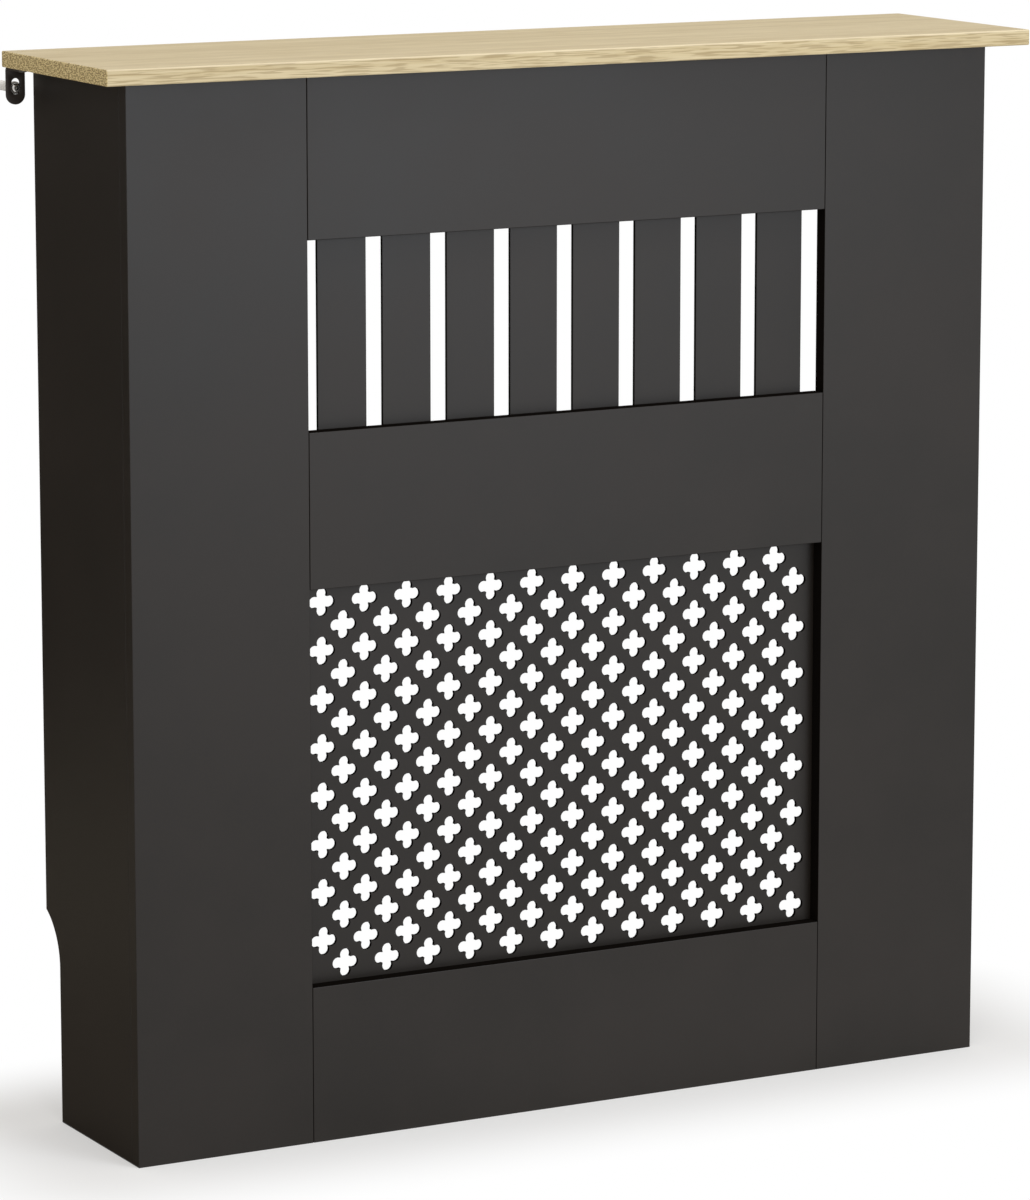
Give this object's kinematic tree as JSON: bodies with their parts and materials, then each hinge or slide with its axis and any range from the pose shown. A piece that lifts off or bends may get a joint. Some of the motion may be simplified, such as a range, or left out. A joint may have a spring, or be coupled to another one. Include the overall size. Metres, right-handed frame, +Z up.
{
  "type": "radiator cover cabinet",
  "caption": "Open-backed board cabinet that hides a wall radiator, with a slatted vent over a quatrefoil grille, an overhanging shelf top and skirting cut-outs.",
  "frame": {"origin": "at floor level under the middle of the overall box, which includes the two wall plugs that reach into the wall; the wall's face is the plane Y = 0.080 m", "axes": "+X along the wall to the right of someone who faces the cabinet, +Y towards the wall, +Z up"},
  "size_m": [0.78, 0.22, 0.815],
  "materials": {
    "black_board": "satin black coating on fibreboard",
    "black_hardboard": "satin black coating on thin hardboard",
    "oak_board": "matt light oak foil on fibreboard",
    "plated_steel": "bright zinc plating",
    "plated_screw": "bright zinc plating",
    "black_steel": "black powder coat",
    "black_screw": "black oxide",
    "pale_nylon": "natural translucent nylon"
  },
  "bodies": {
    "root": {"top_board": "oak_board", "side_panel_left": "black_board", "side_panel_right": "black_board", "front_stile_left": "black_board", "front_stile_right": "black_board", "top_rail": "black_board", "middle_rail": "black_board", "bottom_rail": "black_board", "vent_slat_1": "black_hardboard", "vent_slat_2": "black_hardboard", "vent_slat_3": "black_hardboard", "vent_slat_4": "black_hardboard", "vent_slat_5": "black_hardboard", "vent_slat_6": "black_hardboard", "vent_slat_7": "black_hardboard", "vent_slat_8": "black_hardboard", "grille_sheet": "black_hardboard", "lower_batten": "black_board", "lower_batten_screw_1": "plated_screw", "lower_batten_screw_2": "plated_screw", "lower_batten_screw_3": "plated_screw", "lower_batten_screw_4": "plated_screw", "middle_batten": "black_board", "middle_batten_screw_1": "plated_screw", "middle_batten_screw_2": "plated_screw", "middle_batten_screw_3": "plated_screw", "middle_batten_screw_4": "plated_screw", "upper_batten": "black_board", "upper_batten_screw_1": "plated_screw", "upper_batten_screw_2": "plated_screw", "upper_batten_screw_3": "plated_screw", "upper_batten_screw_4": "plated_screw", "left_lower_angle": "plated_steel", "left_lower_angle_screw_1": "plated_screw", "left_lower_angle_screw_2": "plated_screw", "left_upper_angle": "plated_steel", "left_upper_angle_screw_1": "plated_screw", "left_upper_angle_screw_2": "plated_screw", "left_top_angle": "plated_steel", "left_top_angle_screw_1": "plated_screw", "left_top_angle_screw_2": "plated_screw", "right_lower_angle": "plated_steel", "right_lower_angle_screw_1": "plated_screw", "right_lower_angle_screw_2": "plated_screw", "right_upper_angle": "plated_steel", "right_upper_angle_screw_1": "plated_screw", "right_upper_angle_screw_2": "plated_screw", "right_top_angle": "plated_steel", "right_top_angle_screw_1": "plated_screw", "right_top_angle_screw_2": "plated_screw", "wall_angle_left": "black_steel", "wall_angle_right": "black_steel", "board_screw_left": "black_screw", "board_screw_right": "black_screw", "wall_screw_left": "black_screw", "wall_screw_right": "black_screw", "wall_plug_left": "pale_nylon", "wall_plug_right": "pale_nylon"}
  },
  "joints": []
}
